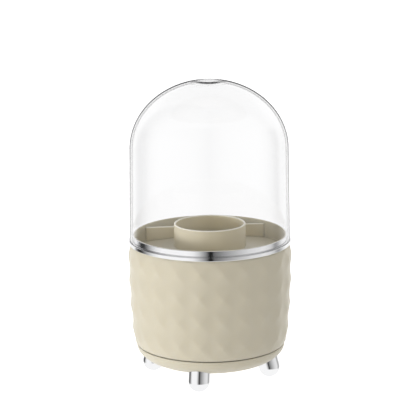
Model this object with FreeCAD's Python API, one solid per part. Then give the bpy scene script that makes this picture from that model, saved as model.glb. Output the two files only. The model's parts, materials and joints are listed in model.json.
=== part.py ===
import FreeCAD, Part
import math
import os

# Rotating makeup organizer: a faceted cup that turns on a footed dish, with a tray, a ring and a clear dome.
# The axis of rotation is Z, the feet stand on Z = 0 and the front faces -Y.

# Base dish
dish_bottom_height = 13.4
dish_rim_inset = 0.1
dish_wall = 2.4
dish_rim_arc = 10.75
dish_floor_arc = 23.0
dish_blend_angle = 45.0
bearing_seat_margin = 1.0
bearing_seat_thickness = 4.8
spindle_recess_depth = 2.0
seam_gap = 0.8

# Feet
foot_names = ("foot_right", "foot_back", "foot_left", "foot_front")
foot_radius = 8.7
foot_tip_cut = 0.4
foot_inset = 11.9
foot_splay = 14.0
foot_socket_depth = 5.6
foot_turn = -11.4
foot_boss_wall = 2.2
foot_boss_floor = 2.5
foot_edge_chamfer = 0.5

# Ball turntable
ball_count = 12
ball_radius = 2.5
ball_circle_radius = 24.0
race_width = 10.0
race_lower_height = 3.4
race_upper_height = 4.3
race_gap = 2.0
cage_width = 8.0
cage_thickness = 1.2
ball_clearance = 0.1
cage_clearance = 0.15

# Turntable disc, bush and spindle
disc_thickness = 3.0
disc_fit = 0.1
hub_wall = 3.0
hub_height = 7.0
bush_wall = 2.0
bush_flange_width = 2.0
bush_flange_height = 1.5
spindle_radius = 4.0
spindle_flange_width = 4.0
spindle_flange_height = 2.0
running_fit = 0.05
end_play = 0.15
washer_overlap = 1.0
washer_thickness = 1.2

# Organizer tray
tray_inner_radius = 60.0
tray_wall = 1.0
tray_rim_stand = 0.2
tray_flange_width = 1.2
tray_flange_height = 1.5
tray_floor_drop = 14.0
tray_floor_radius = 450.0
tray_floor_thickness = 1.5
tube_radius = 28.6
tube_wall = 1.5
tube_rim_stand = 8.0
tube_bottom_gap = 3.15
partition_gap = 6.1
partition_turn = 6.5
partition_thickness = 1.5
partition_top_drop = 2.1

# Outer shell and its diamond relief
shell_height = 82.1
shell_rim_wall = 1.24
shell_widest_drop = 10.0
shell_bulge_radius = 704.0
facet_columns = 22
facet_rows = 4
facet_band = 1.2
facet_relief = 1.4
facet_scoop = 0.45
facet_phase = -97.3
band_step = 0.15
patch_middle_share = 1 / 4

# Inside of the outer shell
shell_lip_wall = 2.6
disc_ledge_margin = 0.2
disc_ledge_height = 3.0
disc_boss_height = 6.0
tray_pocket_gap = 5.4
tray_pocket_fit = 0.2

# Trim ring
ring_flange_ledge = 0.8
ring_flange_height = 2.8
ring_collar_wall = 0.75
ring_collar_height = 4.6
ring_edge_round = 0.4

# Dome
dome_fit = 0.8
dome_wall = 1.6
dome_draft = 1.1
dome_side_height = 73.2
dome_cap_height = 55.0
dimple_radius = 13.0
dimple_depth = 1.2
dimple_rim_round = 4.0
edge_match = 0.01

# Screws
screw_radius = 1.5
screw_head_radius = 2.8
screw_head_height = 1.7
screw_bite = 6.0
screw_fit = 0.05
screw_hole_fit = 0.2
disc_screw_count = 4
disc_screw_turn = 45.0
screw_boss_wall = 2.0

# Seating clearance between snug pieces, and overrun of cutting tools
snug_fit = 0.05
cut_overrun = 5.0

# Levels and radii that follow from the sizes above
origin = FreeCAD.Vector(0, 0, 0)
up = FreeCAD.Vector(0, 0, 1)
bearing_seat_height = dish_bottom_height + bearing_seat_thickness
bearing_seat_radius = ball_circle_radius + race_width / 2 + bearing_seat_margin
race_top_height = bearing_seat_height + race_lower_height
ball_height = race_top_height + race_gap / 2
upper_race_bottom = race_top_height + race_gap
shell_bottom_height = upper_race_bottom + race_upper_height
dish_rim_height = shell_bottom_height - seam_gap
disc_top_height = shell_bottom_height + disc_thickness
hub_top_height = shell_bottom_height + hub_height
bush_top_height = hub_top_height + bush_flange_height
spindle_top_height = bush_top_height + end_play
washer_top_height = spindle_top_height + washer_thickness
bush_outer_radius = spindle_radius + running_fit + bush_wall
bush_flange_radius = bush_outer_radius + bush_flange_width
washer_radius = bush_flange_radius + washer_overlap
shell_top_height = shell_bottom_height + shell_height
facet_top_height = shell_top_height - facet_band
facet_bottom_height = shell_bottom_height + facet_band
facet_half_rows = 2 * facet_rows
facet_pitch = 360.0 / facet_columns
half_pitch_cosine = math.cos(math.radians(facet_pitch / 2))
ring_top_height = shell_top_height + ring_flange_height
collar_top_height = ring_top_height + ring_collar_height
tray_rim_height = collar_top_height + tray_rim_stand
tray_outer_radius = tray_inner_radius + tray_wall
tray_flange_radius = tray_outer_radius + tray_flange_width
tray_floor_edge_height = tray_rim_height - tray_floor_drop
tube_rim_height = tray_rim_height + tube_rim_stand
tube_bottom_height = washer_top_height + screw_head_height + tube_bottom_gap
partition_offset = tube_radius + partition_gap
ring_collar_radius = tray_outer_radius + snug_fit + ring_collar_wall
dome_foot_radius = ring_collar_radius + dome_fit + dome_wall
dome_shoulder_radius = dome_foot_radius - dome_draft
ring_flange_radius = dome_foot_radius + ring_flange_ledge


def bulge_sagitta(height):
    """How far the shell's gently barrelled side falls back from its widest level at a height."""
    drop = shell_top_height - shell_widest_drop - height
    return shell_bulge_radius - math.sqrt(shell_bulge_radius ** 2 - drop ** 2)


shell_rebate_radius = tray_flange_radius + snug_fit
shell_band_radius = shell_rebate_radius + shell_rim_wall
top_valley_radius = (shell_band_radius + band_step) / half_pitch_cosine
shell_widest_radius = top_valley_radius + facet_relief + bulge_sagitta(facet_top_height)


def bulge_radius(height):
    """Radius of the relief's peaks at a height."""
    return shell_widest_radius - bulge_sagitta(height)


def valley_radius(height):
    """Radius of the low corners of the relief at a height."""
    return bulge_radius(height) - facet_relief


shell_lip_radius = valley_radius(facet_bottom_height) * half_pitch_cosine - band_step
disc_pocket_radius = shell_lip_radius - shell_lip_wall
disc_radius = disc_pocket_radius - disc_fit
disc_ledge_width = 2 * (screw_head_radius + screw_hole_fit + disc_ledge_margin)
ledge_radius = disc_pocket_radius - disc_ledge_width
ledge_top_height = disc_top_height + disc_ledge_height
disc_screw_circle = disc_pocket_radius - disc_ledge_width / 2
disc_boss_top = ledge_top_height + disc_boss_height
disc_boss_radius = screw_radius + screw_boss_wall
dish_rim_radius = shell_lip_radius - dish_rim_inset
foot_count = len(foot_names)
foot_circle_radius = dish_rim_radius - foot_inset
foot_centre_height = foot_radius - foot_tip_cut
foot_rise = dish_bottom_height + foot_socket_depth - foot_centre_height
foot_length = foot_rise / math.cos(math.radians(foot_splay))


def profile_point(radius, height):
    return FreeCAD.Vector(radius, 0, height)


def line(start, end):
    return Part.makeLine(profile_point(*start), profile_point(*end))


def circle_point(centre, radius, angle):
    turn = math.radians(angle)
    return (centre[0] + radius * math.cos(turn), centre[1] + radius * math.sin(turn))


def arc(centre, radius, start_angle, end_angle):
    """Profile arc about a centre, between two angles measured from the outward direction."""
    angles = (start_angle, (start_angle + end_angle) / 2, end_angle)
    points = [profile_point(*circle_point(centre, radius, angle)) for angle in angles]
    return Part.Arc(*points).toShape()


def turned(edges):
    """Solid of revolution about Z of a closed profile given as edges in order."""
    return Part.Face(Part.Wire(edges)).revolve(origin, up, 360)


def turned_outline(points):
    """Solid of revolution about Z of a closed polygon of radius and height pairs."""
    corners = [profile_point(*pair) for pair in points]
    return Part.Face(Part.makePolygon(corners + corners[:1])).revolve(origin, up, 360)


def sleeve(inner_radius, outer_radius, low, high):
    """Plain ring between two radii and two heights."""
    corners = [(inner_radius, low), (outer_radius, low), (outer_radius, high), (inner_radius, high)]
    return turned_outline(corners)


def rod(radius, low, high, circle_radius=0, angle=0):
    """Upright cylinder between two heights, at a place on a circle about the axis."""
    turn = math.radians(angle)
    place = FreeCAD.Vector(circle_radius * math.cos(turn), circle_radius * math.sin(turn), low)
    return Part.makeCylinder(radius, high - low, place)


def spread(count, start=0):
    return [start + 360.0 * index / count for index in range(count)]


def spun(shape, angle):
    copy = shape.copy()
    copy.rotate(origin, up, angle)
    return copy


def lattice_corner(row, column):
    """Corner of the diamond net. Odd rows are peaks, even rows are valleys set half a column on."""
    height = facet_top_height - (facet_top_height - facet_bottom_height) * row / facet_half_rows
    is_peak = row % 2 == 1
    radius = bulge_radius(height) if is_peak else valley_radius(height)
    shift = 0.0 if is_peak else 1 / 2
    turn = math.radians(facet_phase + facet_pitch * (column + shift))
    return FreeCAD.Vector(radius * math.cos(turn), radius * math.sin(turn), height)


def diamond_face(row, column):
    """One diamond of the relief: a curved patch with straight edges, hollowed towards its middle."""
    left = lattice_corner(row, column)
    right = lattice_corner(row, column + 1)
    middle_column = column if row % 2 == 1 else column + 1
    top = lattice_corner(row - 1, middle_column)
    bottom = lattice_corner(row + 1, middle_column)
    mean = (left + right + top + bottom) / 4
    outward = FreeCAD.Vector(mean.x, mean.y, 0).normalize()
    middle = mean - outward * (facet_scoop / patch_middle_share)
    poles = [
        [bottom, (bottom + left) / 2, left],
        [(bottom + right) / 2, middle, (top + left) / 2],
        [right, (right + top) / 2, top],
    ]
    patch = Part.BezierSurface()
    patch.increase(2, 2)
    for across, pole_row in enumerate(poles):
        for along, pole in enumerate(pole_row):
            patch.setPole(across + 1, along + 1, pole)
    return patch.toShape()


def half_diamond_face(row, column):
    """Flat triangle that closes the net at its top or bottom row."""
    apex_row = 1 if row == 0 else row - 1
    apex = lattice_corner(apex_row, column + 1)
    corners = [lattice_corner(row, column), lattice_corner(row, column + 1), apex]
    return Part.Face(Part.makePolygon(corners + corners[:1]))


def diamond_body():
    """Closed solid bounded by the diamond net and two flat ends."""
    faces = []
    for row in range(1, facet_half_rows):
        faces += [diamond_face(row, column) for column in range(facet_columns)]
    for row in (0, facet_half_rows):
        faces += [half_diamond_face(row, column) for column in range(facet_columns)]
        rim = [lattice_corner(row, column) for column in range(facet_columns)]
        faces.append(Part.Face(Part.makePolygon(rim + rim[:1])))
    skin = Part.makeShell(faces)
    skin.sewShape()
    body = Part.makeSolid(Part.Shell(skin.Faces))
    if body.Volume < 0:
        body.reverse()
    return body


def make_outer_shell():
    """Cup wall: diamond relief outside, plain lips, a ledge for the disc and a pocket for the tray."""
    pocket_radius = tray_outer_radius + tray_pocket_fit
    pocket_bottom = tray_floor_edge_height - tray_floor_thickness - tray_pocket_gap
    rebate_bottom = shell_top_height - tray_flange_height
    body = diamond_body()
    body = body.fuse(rod(shell_lip_radius, shell_bottom_height, facet_bottom_height))
    body = body.fuse(rod(shell_band_radius, facet_top_height, shell_top_height))
    cavity = turned_outline([
        (0, shell_bottom_height - cut_overrun),
        (disc_pocket_radius, shell_bottom_height - cut_overrun),
        (disc_pocket_radius, disc_top_height),
        (ledge_radius, disc_top_height),
        (ledge_radius, ledge_top_height),
        (disc_pocket_radius, ledge_top_height),
        (pocket_radius, pocket_bottom),
        (pocket_radius, rebate_bottom),
        (shell_rebate_radius, rebate_bottom),
        (shell_rebate_radius, shell_top_height + cut_overrun),
        (0, shell_top_height + cut_overrun),
    ])
    body = body.cut(cavity)
    for angle in spread(disc_screw_count, disc_screw_turn):
        boss = rod(disc_boss_radius, disc_top_height, disc_boss_top, disc_screw_circle, angle)
        body = body.fuse(boss)
    pilot = screw_radius + screw_fit
    hole_top = disc_top_height + screw_bite + screw_fit
    for angle in spread(disc_screw_count, disc_screw_turn):
        body = body.cut(rod(pilot, disc_top_height - cut_overrun, hole_top, disc_screw_circle, angle))
    return body.removeSplitter()


def make_trim_ring():
    """Bright ring with a flange for the dome to stand on and a collar that centres it."""
    bore = tray_outer_radius + snug_fit
    flange_edge = ring_flange_radius - ring_edge_round
    collar_edge = ring_collar_radius - ring_edge_round
    low_edge = (flange_edge, shell_top_height + ring_edge_round)
    high_edge = (flange_edge, ring_top_height - ring_edge_round)
    collar_corner = (collar_edge, collar_top_height - ring_edge_round)
    return turned([
        line((bore, shell_top_height), (flange_edge, shell_top_height)),
        arc(low_edge, ring_edge_round, -90, 0),
        line(circle_point(low_edge, ring_edge_round, 0), circle_point(high_edge, ring_edge_round, 0)),
        arc(high_edge, ring_edge_round, 0, 90),
        line((flange_edge, ring_top_height), (ring_collar_radius, ring_top_height)),
        line((ring_collar_radius, ring_top_height), circle_point(collar_corner, ring_edge_round, 0)),
        arc(collar_corner, ring_edge_round, 0, 90),
        line((collar_edge, collar_top_height), (bore, collar_top_height)),
        line((bore, collar_top_height), (bore, shell_top_height)),
    ])


def floor_centre_height():
    """Height of the centre of the sphere that crowns the tray floor."""
    return tray_floor_edge_height - math.sqrt(tray_floor_radius ** 2 - tray_inner_radius ** 2)


def floor_arc(sphere_radius, start_radius, end_radius):
    """Profile arc of the crowned floor between two radii."""
    angles = [math.degrees(math.acos(radius / sphere_radius)) for radius in (start_radius, end_radius)]
    return arc((0, floor_centre_height()), sphere_radius, *angles)


def floor_point(sphere_radius, radius):
    return (radius, floor_centre_height() + math.sqrt(sphere_radius ** 2 - radius ** 2))


def make_partition():
    """Straight wall behind the tube, let into the tray's wall and floor."""
    sunk_radius = tray_inner_radius + tray_wall / 2
    sunk_sphere = tray_floor_radius - tray_floor_thickness / 2
    top = tray_rim_height - partition_top_drop
    inner = floor_point(sunk_sphere, tube_radius)
    outer = floor_point(sunk_sphere, sunk_radius)
    room = turned([
        floor_arc(sunk_sphere, tube_radius, sunk_radius),
        line(outer, (sunk_radius, top)),
        line((sunk_radius, top), (tube_radius, top)),
        line((tube_radius, top), inner),
    ])
    length = 2 * tray_outer_radius
    low = outer[1] - cut_overrun
    corner = FreeCAD.Vector(-length / 2, partition_offset - partition_thickness / 2, low)
    wall = Part.makeBox(length, partition_thickness, top + cut_overrun - low, corner)
    return spun(wall, partition_turn).common(room)


def make_organizer_tray():
    """Insert with a rim, a crowned floor, a deep brush tube and a partition."""
    under_sphere = tray_floor_radius - tray_floor_thickness
    under_outer = floor_point(under_sphere, tray_outer_radius)
    under_inner = floor_point(under_sphere, tube_radius)
    floor_outer = floor_point(tray_floor_radius, tray_inner_radius)
    floor_inner = floor_point(tray_floor_radius, tube_radius)
    tube_inner_radius = tube_radius - tube_wall
    tube_floor_height = tube_bottom_height + tray_floor_thickness
    flange_bottom = shell_top_height - tray_flange_height
    rim_centre = (tray_inner_radius + tray_wall / 2, tray_rim_height - tray_wall / 2)
    tube_centre = (tube_radius - tube_wall / 2, tube_rim_height - tube_wall / 2)
    body = turned([
        arc(rim_centre, tray_wall / 2, 180, 0),
        line(circle_point(rim_centre, tray_wall / 2, 0), (tray_outer_radius, shell_top_height)),
        line((tray_outer_radius, shell_top_height), (tray_flange_radius, shell_top_height)),
        line((tray_flange_radius, shell_top_height), (tray_flange_radius, flange_bottom)),
        line((tray_flange_radius, flange_bottom), (tray_outer_radius, flange_bottom)),
        line((tray_outer_radius, flange_bottom), under_outer),
        floor_arc(under_sphere, tray_outer_radius, tube_radius),
        line(under_inner, (tube_radius, tube_bottom_height)),
        line((tube_radius, tube_bottom_height), (0, tube_bottom_height)),
        line((0, tube_bottom_height), (0, tube_floor_height)),
        line((0, tube_floor_height), (tube_inner_radius, tube_floor_height)),
        line((tube_inner_radius, tube_floor_height), circle_point(tube_centre, tube_wall / 2, 180)),
        arc(tube_centre, tube_wall / 2, 180, 0),
        line(circle_point(tube_centre, tube_wall / 2, 0), floor_inner),
        floor_arc(tray_floor_radius, tube_radius, tray_inner_radius),
        line(floor_outer, circle_point(rim_centre, tray_wall / 2, 180)),
    ])
    return body.fuse(make_partition()).removeSplitter()


def cap_arc(half_width, half_height, base_height, end_radius):
    """Quarter of an ellipse from the dome's shoulder to the rim of its dimple, and that rim's point."""
    centre = profile_point(0, base_height)
    side = profile_point(half_width, base_height)
    top = profile_point(0, base_height + half_height)
    end_angle = math.acos(end_radius / half_width)
    if half_width >= half_height:
        curve = Part.ArcOfEllipse(Part.Ellipse(side, top, centre), 0, end_angle)
    else:
        curve = Part.ArcOfEllipse(Part.Ellipse(top, side, centre), math.pi / 2 - end_angle, math.pi / 2)
    return curve.toShape(), (end_radius, base_height + half_height * math.sin(end_angle))


def dimple_arc(rim):
    """Shallow hollow from its rim down to the axis."""
    radius = (rim[0] ** 2 + dimple_depth ** 2) / (2 * dimple_depth)
    bottom = rim[1] - dimple_depth
    centre = (0, bottom + radius)
    rim_angle = math.degrees(math.asin(rim[0] / radius)) - 90
    return arc(centre, radius, rim_angle, -90), (0, bottom)


def make_dome_cover():
    """Clear one-piece cover with a slight draft, an elliptical cap and a finger dimple on top."""
    foot_height = ring_top_height
    shoulder_height = foot_height + dome_side_height
    inner_shoulder = dome_shoulder_radius - dome_wall
    inner_foot = dome_foot_radius - dome_wall
    outer_cap, outer_rim = cap_arc(dome_shoulder_radius, dome_cap_height, shoulder_height, dimple_radius)
    inner_height = dome_cap_height - dome_wall
    inner_cap, inner_rim = cap_arc(inner_shoulder, inner_height, shoulder_height, dimple_radius)
    outer_dimple, outer_bottom = dimple_arc(outer_rim)
    inner_dimple, inner_bottom = dimple_arc(inner_rim)
    body = turned([
        line((inner_foot, foot_height), (dome_foot_radius, foot_height)),
        line((dome_foot_radius, foot_height), (dome_shoulder_radius, shoulder_height)),
        outer_cap,
        outer_dimple,
        line(outer_bottom, inner_bottom),
        inner_dimple,
        inner_cap,
        line((inner_shoulder, shoulder_height), (inner_foot, foot_height)),
    ])
    rim_edges = [edge for edge in body.Edges if is_circle_at(edge, outer_rim)]
    return body.makeFillet(dimple_rim_round, rim_edges)


def is_circle_at(edge, rim):
    """True for a circular edge about the axis that passes through a profile point."""
    if edge.Degenerated or not isinstance(edge.Curve, Part.Circle):
        return False
    same_radius = abs(edge.Curve.Radius - rim[0]) < edge_match
    return same_radius and abs(edge.Curve.Center.z - rim[1]) < edge_match


def dish_side(inset):
    """Two tangent arcs of the dish's side, moved inwards by a wall, from its floor to its rim."""
    blend = math.radians(dish_blend_angle)
    floor_centre_z = dish_bottom_height + dish_floor_arc
    arc_step = dish_floor_arc - dish_rim_arc
    rim_centre_z = floor_centre_z - arc_step * math.sin(blend)
    rim_rise = dish_rim_height - rim_centre_z
    rim_centre_r = dish_rim_radius - math.sqrt(dish_rim_arc ** 2 - rim_rise ** 2)
    floor_centre_r = rim_centre_r - arc_step * math.cos(blend)
    rim_radius = dish_rim_arc - inset
    rim_angle = math.degrees(math.asin(rim_rise / rim_radius))
    floor_centre = (floor_centre_r, floor_centre_z)
    rim_centre = (rim_centre_r, rim_centre_z)
    floor_curve = arc(floor_centre, dish_floor_arc - inset, -90, -dish_blend_angle)
    rim_curve = arc(rim_centre, rim_radius, -dish_blend_angle, rim_angle)
    floor_end = (floor_centre_r, dish_bottom_height + inset)
    rim_end = circle_point(rim_centre, rim_radius, rim_angle)
    return floor_end, floor_curve, rim_curve, rim_end


def dish_volume(inset):
    """Solid filled up to the rim, bounded by the dish's side moved inwards by a wall."""
    floor_end, floor_curve, rim_curve, rim_end = dish_side(inset)
    return turned([
        line((0, floor_end[1]), floor_end),
        floor_curve,
        rim_curve,
        line(rim_end, (0, rim_end[1])),
        line((0, rim_end[1]), (0, floor_end[1])),
    ])


def on_foot_axis(shape, angle):
    """Moves a shape from the local foot frame, tip downwards, to its splayed place under the dish."""
    copy = shape.copy()
    copy.rotate(origin, FreeCAD.Vector(0, 1, 0), -foot_splay)
    copy.translate(FreeCAD.Vector(foot_circle_radius, 0, foot_centre_height))
    return spun(copy, angle)


def make_base_dish():
    """Shallow dish with foot sockets, a raised seat for the bearing and a hole for the spindle screw."""
    outside = dish_volume(0)
    body = outside.cut(dish_volume(dish_wall))
    body = body.fuse(rod(bearing_seat_radius, dish_bottom_height, bearing_seat_height))
    boss = rod(foot_radius + foot_boss_wall, 0, foot_length + foot_boss_floor)
    bearing_room = rod(bearing_seat_radius, bearing_seat_height, dish_rim_height + cut_overrun)
    socket = rod(foot_radius + snug_fit, -cut_overrun, foot_length)
    hole = rod(screw_radius + screw_hole_fit, 0, foot_length + foot_boss_floor + cut_overrun)
    for angle in spread(foot_count, foot_turn):
        body = body.fuse(on_foot_axis(boss, angle).common(outside).cut(bearing_room))
    for angle in spread(foot_count, foot_turn):
        body = body.cut(on_foot_axis(socket, angle)).cut(on_foot_axis(hole, angle))
    recess_top = dish_bottom_height + spindle_recess_depth
    recess = rod(screw_head_radius + screw_hole_fit, dish_bottom_height - cut_overrun, recess_top)
    pivot_hole = rod(screw_radius + screw_hole_fit, dish_bottom_height, bearing_seat_height + cut_overrun)
    return body.cut(recess).cut(pivot_hole).removeSplitter()


def make_foot(angle):
    """Splayed round-ended foot with a small flat tip and a pilot hole in its top."""
    chamfer_radius = foot_radius - foot_edge_chamfer
    chamfer_height = foot_length - foot_edge_chamfer
    body = turned([
        arc((0, 0), foot_radius, -90, 0),
        line((foot_radius, 0), (foot_radius, chamfer_height)),
        line((foot_radius, chamfer_height), (chamfer_radius, foot_length)),
        line((chamfer_radius, foot_length), (0, foot_length)),
        line((0, foot_length), (0, -foot_radius)),
    ])
    pilot = screw_radius + screw_fit
    body = body.cut(rod(pilot, foot_length - screw_bite - screw_fit, foot_length + cut_overrun))
    placed = on_foot_axis(body, angle)
    reach = foot_circle_radius + foot_radius + cut_overrun
    ground = rod(reach, -foot_radius - cut_overrun, 0)
    return placed.cut(ground)


def pan_screw(grip):
    """Pan-head screw with its head above zero and its shank below, long enough to bite past a grip."""
    head_edge = screw_head_radius - screw_head_height / 2
    return turned([
        line((0, -grip - screw_bite), (screw_radius, -grip - screw_bite)),
        line((screw_radius, -grip - screw_bite), (screw_radius, 0)),
        line((screw_radius, 0), (screw_head_radius, 0)),
        line((screw_head_radius, 0), (screw_head_radius, screw_head_height / 2)),
        arc((head_edge, screw_head_height / 2), screw_head_height / 2, 0, 90),
        line((head_edge, screw_head_height), (0, screw_head_height)),
        line((0, screw_head_height), (0, -grip - screw_bite)),
    ])


def upended(shape):
    copy = shape.copy()
    copy.rotate(origin, FreeCAD.Vector(1, 0, 0), 180)
    return copy


def lifted(shape, height):
    copy = shape.copy()
    copy.translate(up * height)
    return copy


def make_foot_screws():
    screw = lifted(pan_screw(foot_boss_floor), foot_length + foot_boss_floor)
    return Part.makeCompound([on_foot_axis(screw, angle) for angle in spread(foot_count, foot_turn)])


def make_spindle():
    """Fixed pivot with a flange that sits on the dish and pilot holes in both ends."""
    flange_top = bearing_seat_height + spindle_flange_height
    body = rod(spindle_radius + spindle_flange_width, bearing_seat_height, flange_top)
    body = body.fuse(rod(spindle_radius, bearing_seat_height, spindle_top_height))
    pilot = screw_radius + screw_fit
    lower_hole_top = bearing_seat_height + screw_bite + screw_fit
    upper_hole_bottom = spindle_top_height - screw_bite - screw_fit
    body = body.cut(rod(pilot, bearing_seat_height - cut_overrun, lower_hole_top))
    body = body.cut(rod(pilot, upper_hole_bottom, spindle_top_height + cut_overrun))
    return body.removeSplitter()


def make_spindle_screw():
    grip = bearing_seat_thickness - spindle_recess_depth
    return lifted(upended(pan_screw(grip)), dish_bottom_height + spindle_recess_depth)


def make_retaining_washer():
    return sleeve(screw_radius + screw_hole_fit, washer_radius, spindle_top_height, washer_top_height)


def make_retaining_screw():
    return lifted(pan_screw(washer_thickness), washer_top_height)


def grooved_race(low, high):
    """Flat ring with a groove that fits the balls."""
    inner = ball_circle_radius - race_width / 2
    outer = ball_circle_radius + race_width / 2
    groove = lifted(Part.makeTorus(ball_circle_radius, ball_radius + ball_clearance), ball_height)
    return sleeve(inner, outer, low, high).cut(groove)


def ball_places():
    turns = [math.radians(angle) for angle in spread(ball_count)]
    return [(ball_circle_radius * math.cos(turn), ball_circle_radius * math.sin(turn)) for turn in turns]


def make_bearing_balls():
    centres = [FreeCAD.Vector(x, y, ball_height) for x, y in ball_places()]
    return Part.makeCompound([Part.makeSphere(ball_radius, centre) for centre in centres])


def make_ball_cage():
    """Flat spacer ring with one round window per ball."""
    inner = ball_circle_radius - cage_width / 2
    outer = ball_circle_radius + cage_width / 2
    low = ball_height - cage_thickness / 2
    high = ball_height + cage_thickness / 2
    window = ball_radius + cage_clearance
    body = sleeve(inner, outer, low, high)
    for angle in spread(ball_count):
        body = body.cut(rod(window, low - cut_overrun, high + cut_overrun, ball_circle_radius, angle))
    return body


def make_turntable_disc():
    """Plate that closes the cup, with a hub for the bush and sunk holes for its screws."""
    bore_radius = bush_outer_radius + snug_fit
    recess_radius = screw_head_radius + screw_hole_fit
    hole_radius = screw_radius + screw_hole_fit
    recess_top = shell_bottom_height + screw_head_height + screw_fit
    body = rod(disc_radius, shell_bottom_height, disc_top_height)
    body = body.fuse(rod(bore_radius + hub_wall, shell_bottom_height, hub_top_height))
    body = body.cut(rod(bore_radius, shell_bottom_height - cut_overrun, hub_top_height + cut_overrun))
    for angle in spread(disc_screw_count, disc_screw_turn):
        recess = rod(recess_radius, shell_bottom_height - cut_overrun, recess_top, disc_screw_circle, angle)
        hole = rod(hole_radius, shell_bottom_height, disc_top_height + cut_overrun, disc_screw_circle, angle)
        body = body.cut(recess).cut(hole)
    return body.removeSplitter()


def make_turntable_screws():
    head_seat = shell_bottom_height + screw_head_height + screw_fit
    screw = lifted(upended(pan_screw(disc_top_height - head_seat - screw_fit)), head_seat)
    screw.translate(FreeCAD.Vector(disc_screw_circle, 0, 0))
    return Part.makeCompound([spun(screw, angle) for angle in spread(disc_screw_count, disc_screw_turn)])


def make_hub_bush():
    """Plain bush with a flange on top of the hub."""
    bore = spindle_radius + running_fit
    return turned_outline([
        (bore, shell_bottom_height),
        (bush_outer_radius, shell_bottom_height),
        (bush_outer_radius, hub_top_height),
        (bush_flange_radius, hub_top_height),
        (bush_flange_radius, bush_top_height),
        (bore, bush_top_height),
    ])


pieces = {
    "base_dish": make_base_dish(),
    "foot_screws": make_foot_screws(),
    "spindle": make_spindle(),
    "spindle_screw": make_spindle_screw(),
    "lower_race": grooved_race(bearing_seat_height, race_top_height),
    "retaining_washer": make_retaining_washer(),
    "retaining_screw": make_retaining_screw(),
    "ball_cage": make_ball_cage(),
    "bearing_balls": make_bearing_balls(),
    "turntable_disc": make_turntable_disc(),
    "upper_race": grooved_race(upper_race_bottom, shell_bottom_height),
    "hub_bush": make_hub_bush(),
    "turntable_screws": make_turntable_screws(),
    "outer_shell": make_outer_shell(),
    "organizer_tray": make_organizer_tray(),
    "trim_ring": make_trim_ring(),
    "dome_cover": make_dome_cover(),
}
for name, angle in zip(foot_names, spread(foot_count, foot_turn)):
    pieces[name] = make_foot(angle)

os.makedirs("parts", exist_ok=True)
for name, shape in pieces.items():
    shape.exportStep("parts/" + name + ".step")
    box = shape.BoundBox
    state = "valid" if shape.isValid() else "not valid"
    print(name, state, len(shape.Solids), "solids", round(shape.Volume), "mm3",
          [round(value, 2) for value in (box.XMin, box.YMin, box.ZMin, box.XMax, box.YMax, box.ZMax)])
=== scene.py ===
# %% [markdown]
# # A rotating makeup organizer
#
# The real object is a round beige cup with a diamond relief. It turns on a shallow dish with four chrome
# feet, and it carries a tray with a brush tube, a bright trim ring and a clear dome that lifts off.
# The solids come in as a fixed frame. Blender adds smooth meshes and finishes, and it never moves a solid.

# %% Load the measured parts
import json
import math

import bmesh
import bpy
from mathutils import Matrix, Vector


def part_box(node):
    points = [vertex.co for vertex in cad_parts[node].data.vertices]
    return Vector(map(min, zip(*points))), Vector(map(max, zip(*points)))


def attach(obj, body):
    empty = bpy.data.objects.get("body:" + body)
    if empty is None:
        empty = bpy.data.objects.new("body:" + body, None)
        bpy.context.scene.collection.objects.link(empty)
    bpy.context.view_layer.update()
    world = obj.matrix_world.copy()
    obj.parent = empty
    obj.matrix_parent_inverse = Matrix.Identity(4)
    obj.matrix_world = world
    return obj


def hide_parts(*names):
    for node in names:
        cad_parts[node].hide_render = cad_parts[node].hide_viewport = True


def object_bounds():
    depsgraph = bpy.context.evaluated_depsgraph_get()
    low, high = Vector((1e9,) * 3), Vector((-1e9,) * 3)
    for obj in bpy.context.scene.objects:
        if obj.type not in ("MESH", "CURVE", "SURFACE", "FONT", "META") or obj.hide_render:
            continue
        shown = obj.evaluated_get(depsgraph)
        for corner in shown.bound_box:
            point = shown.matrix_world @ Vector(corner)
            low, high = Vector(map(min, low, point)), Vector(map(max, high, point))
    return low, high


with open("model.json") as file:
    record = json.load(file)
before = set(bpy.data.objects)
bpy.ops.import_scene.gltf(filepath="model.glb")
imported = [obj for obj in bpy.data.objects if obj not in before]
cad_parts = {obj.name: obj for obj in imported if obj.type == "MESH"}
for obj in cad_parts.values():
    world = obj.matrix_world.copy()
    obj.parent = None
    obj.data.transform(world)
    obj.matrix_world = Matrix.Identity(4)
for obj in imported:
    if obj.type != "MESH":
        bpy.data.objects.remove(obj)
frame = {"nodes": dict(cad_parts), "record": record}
cad_low, cad_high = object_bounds()
scene = bpy.context.scene
scene.view_settings.view_transform = "Standard"
print("solids:", len(frame["nodes"]), "box:", [round(value, 4) for value in cad_high - cad_low])

# %% [markdown]
# ## Camera
#
# The picture was taken with a long lens from a little above. A camera can be placed by eye, or its pitch,
# roll and focal length can be solved from the ellipses of the ring and the dish, which gave these values.

# %% Camera
camera_target = Vector((0.0003, 0.0, 0.1359))
camera_distance = 1.54
camera_pitch = math.radians(13.08)
camera_roll = math.radians(-0.51)
camera_lens = 165.3

forward = Vector((0.0, math.cos(camera_pitch), -math.sin(camera_pitch)))
level_right = Vector((1.0, 0.0, 0.0))
level_up = level_right.cross(forward)
camera_right = math.cos(camera_roll) * level_right + math.sin(camera_roll) * level_up
camera_up = math.cos(camera_roll) * level_up - math.sin(camera_roll) * level_right
camera_data = bpy.data.cameras.new("camera")
camera_data.lens = camera_lens
camera = bpy.data.objects.new("camera", camera_data)
camera.matrix_world = Matrix((camera_right, camera_up, -forward)).transposed().to_4x4()
camera.location = camera_target - forward * camera_distance
scene.collection.objects.link(camera)
scene.camera = camera
print("camera at", [round(value, 3) for value in camera.location])

# %% [markdown]
# ## Shader nodes
#
# Each light and finish below is a small network of nodes. A few helpers add the nodes that come up again
# and again: set values, sums, ramps of greys and mixes. That keeps the recipe of each finish in view.

# %% Node helpers
white = (1.0, 1.0, 1.0, 1.0)


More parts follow.
